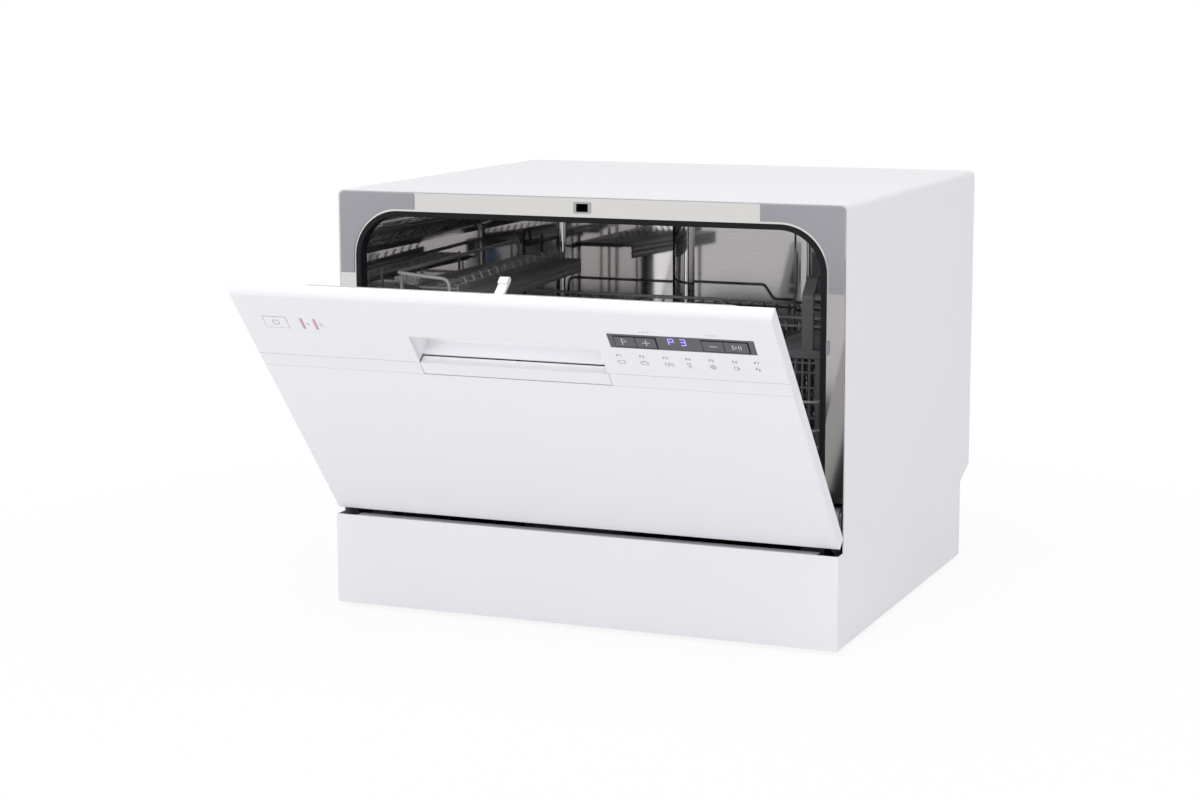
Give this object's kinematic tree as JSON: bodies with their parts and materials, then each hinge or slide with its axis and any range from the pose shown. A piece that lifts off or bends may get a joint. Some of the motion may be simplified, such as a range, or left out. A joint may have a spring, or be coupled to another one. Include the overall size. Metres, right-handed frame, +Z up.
{
  "type": "countertop dishwasher",
  "caption": "Compact white dishwasher for a countertop, with a drop-down door, grip pocket and control window on the door, a steel tub and a wire rack that rolls out as the door opens.",
  "frame": {"origin": "on the table, under the middle of the whole object as it stands in the picture, with the door 40 degrees open", "axes": "+Z up, -Y out of the front, +X to the right of someone who faces the door"},
  "size_m": [0.55, 0.7042, 0.438],
  "materials": {
    "white_paint": "satin",
    "white_plastic": "satin",
    "stainless": "bright",
    "zinc_sheet": "matt zinc plate",
    "grey_pad": "satin",
    "black_rubber": "matt",
    "green_rubber": "matt",
    "chrome": "polished",
    "dark_plastic": "matt",
    "pump_plastic": "matt",
    "pale_plastic": "satin",
    "blue_plastic": "satin",
    "window_plastic": "gloss",
    "red_window": "gloss",
    "board": "satin",
    "rack_wire": "satin nylon coat",
    "spring_steel": "bright"
  },
  "bodies": {
    "cabinet": {"casing_wrap": "white_paint", "rear_cover": "zinc_sheet", "kick_panel": "white_paint", "base_tray": "dark_plastic", "feet": "black_rubber", "front_frame": "stainless", "frame_pads": "grey_pad", "door_seal": "black_rubber", "strike_plate": "chrome", "latch_catch": "dark_plastic", "tub_wrap": "stainless", "tub_back": "stainless", "tub_floor": "stainless", "sump": "pump_plastic", "filter_plate": "stainless", "spray_hub": "dark_plastic", "water_softener": "pale_plastic", "wash_pump": "pump_plastic", "drain_pump": "pump_plastic", "inlet_valve": "pale_plastic", "air_break": "pale_plastic", "cord_gland": "black_rubber", "hinge_brackets": "zinc_sheet", "hinge_stops": "green_rubber", "hinge_spring_left": "spring_steel", "hinge_spring_right": "spring_steel"},
    "door": {"hinge_arms": "zinc_sheet", "door_panel": "white_paint", "control_panel": "white_plastic", "door_liner": "stainless", "control_window": "window_plastic", "indicator_bars": "red_window", "control_board": "board", "dispenser_body": "pale_plastic", "latch_housing": "pale_plastic"},
    "filter": {"filter_cup": "dark_plastic"},
    "spray_arm": {"spray_arm": "pump_plastic"},
    "salt_cap": {"salt_cap": "blue_plastic"},
    "float": {"float": "pale_plastic"},
    "detergent_lid": {"detergent_lid": "dark_plastic"},
    "rinse_cap": {"rinse_cap": "blue_plastic"},
    "latch_hook": {"latch_hook": "white_plastic"},
    "latch_link": {"latch_link": "dark_plastic"},
    "handle_bar": {"handle_bar": "white_plastic"},
    "power_button": {"power_button": "white_plastic"},
    "program_button": {"program_button": "window_plastic"},
    "plus_button": {"plus_button": "window_plastic"},
    "minus_button": {"minus_button": "window_plastic"},
    "start_button": {"start_button": "window_plastic"},
    "rack": {"rack_floor_grid": "rack_wire", "rack_front": "rack_wire", "rack_back": "rack_wire", "rack_left": "rack_wire", "rack_right": "rack_wire", "rack_tines": "rack_wire"},
    "front_rollers": {"rack_rollers_front": "dark_plastic"},
    "rear_rollers": {"rack_rollers_rear": "dark_plastic"},
    "cup_shelf": {"cup_shelf": "dark_plastic"},
    "cutlery_basket": {"cutlery_basket": "dark_plastic"}
  },
  "joints": [
    {"name": "door_hinge", "type": "hinge", "parent": "cabinet", "child": "door", "pos_m": [0, -0.13786, 0.114], "axis": [1, 0, 0], "range_deg": [-40, 50], "deforming": ["hinge_spring_left", "hinge_spring_right"]},
    {"name": "handle_pull", "type": "hinge", "parent": "door", "child": "handle_bar", "pos_m": [0, -0.28549, 0.28449], "axis": [1, 0, 0], "range_deg": [0, 8], "stiffness_Nm_per_rad": 2},
    {"name": "latch_link_slide", "type": "slide", "parent": "door", "child": "latch_link", "axis": [0, -0.6428, 0.766], "range_m": [0, 0.0008]},
    {"name": "latch_hook_turn", "type": "hinge", "parent": "door", "child": "latch_hook", "pos_m": [0, -0.34109, 0.35076], "axis": [1, 0, 0], "range_deg": [0, 6]},
    {"name": "detergent_lid_hinge", "type": "hinge", "parent": "door", "child": "detergent_lid", "pos_m": [-0.052, -0.19082, 0.24448], "axis": [-1, 0, 0], "range_deg": [0, 100]},
    {"name": "rinse_cap_turn", "type": "hinge", "parent": "door", "child": "rinse_cap", "pos_m": [0.024, -0.21379, 0.26828], "axis": [0, 0.766, 0.6428], "range_deg": [0, 90]},
    {"name": "power_press", "type": "slide", "parent": "door", "child": "power_button", "axis": [0, 0.766, 0.6428], "range_m": [0, 0.0015], "stiffness_N_per_m": 300},
    {"name": "program_press", "type": "slide", "parent": "door", "child": "program_button", "axis": [0, 0.766, 0.6428], "range_m": [0, 0.0015], "stiffness_N_per_m": 300},
    {"name": "plus_press", "type": "slide", "parent": "door", "child": "plus_button", "axis": [0, 0.766, 0.6428], "range_m": [0, 0.0015], "stiffness_N_per_m": 300},
    {"name": "minus_press", "type": "slide", "parent": "door", "child": "minus_button", "axis": [0, 0.766, 0.6428], "range_m": [0, 0.0015], "stiffness_N_per_m": 300},
    {"name": "start_press", "type": "slide", "parent": "door", "child": "start_button", "axis": [0, 0.766, 0.6428], "range_m": [0, 0.0015], "stiffness_N_per_m": 300},
    {"name": "rack_roll", "type": "slide", "parent": "cabinet", "child": "rack", "axis": [0, -1, 0], "range_m": [-0.045, 0.25]},
    {"name": "front_rollers_spin", "type": "hinge", "parent": "rack", "child": "front_rollers", "pos_m": [0, -0.03786, 0.1663], "axis": [1, 0, 0], "continuous": true},
    {"name": "rear_rollers_spin", "type": "hinge", "parent": "rack", "child": "rear_rollers", "pos_m": [0, 0.18214, 0.1663], "axis": [1, 0, 0], "continuous": true},
    {"name": "cup_shelf_fold", "type": "hinge", "parent": "rack", "child": "cup_shelf", "pos_m": [-0.225, 0.07214, 0.334], "axis": [0, -1, 0], "range_deg": [0, 75]},
    {"name": "basket_lift", "type": "slide", "parent": "rack", "child": "cutlery_basket", "axis": [0, 0, 1], "range_m": [0, 0.055]},
    {"name": "spray_arm_spin", "type": "hinge", "parent": "cabinet", "child": "spray_arm", "pos_m": [0, 0.07614, 0.143], "axis": [0, 0, 1], "continuous": true},
    {"name": "filter_turn", "type": "hinge", "parent": "cabinet", "child": "filter", "pos_m": [0.105, 0.17714, 0.12], "axis": [0, 0, 1], "range_deg": [0, 90]},
    {"name": "salt_cap_turn", "type": "hinge", "parent": "cabinet", "child": "salt_cap", "pos_m": [-0.125, 0.18214, 0.125], "axis": [0, 0, 1], "range_deg": [0, 90]},
    {"name": "float_lift", "type": "slide", "parent": "cabinet", "child": "float", "axis": [0, 0, 1], "range_m": [0, 0.008]}
  ],
  "couplings": [
    {"joint": "latch_link_slide", "follows": "handle_pull", "m_per_rad": 0.0052},
    {"joint": "latch_hook_turn", "follows": "handle_pull", "ratio": 0.75},
    {"joint": "rack_roll", "follows": "door_hinge", "m_per_rad": 0.063025},
    {"joint": "front_rollers_spin", "follows": "door_hinge", "ratio": 4.5018},
    {"joint": "rear_rollers_spin", "follows": "door_hinge", "ratio": 4.5018}
  ]
}
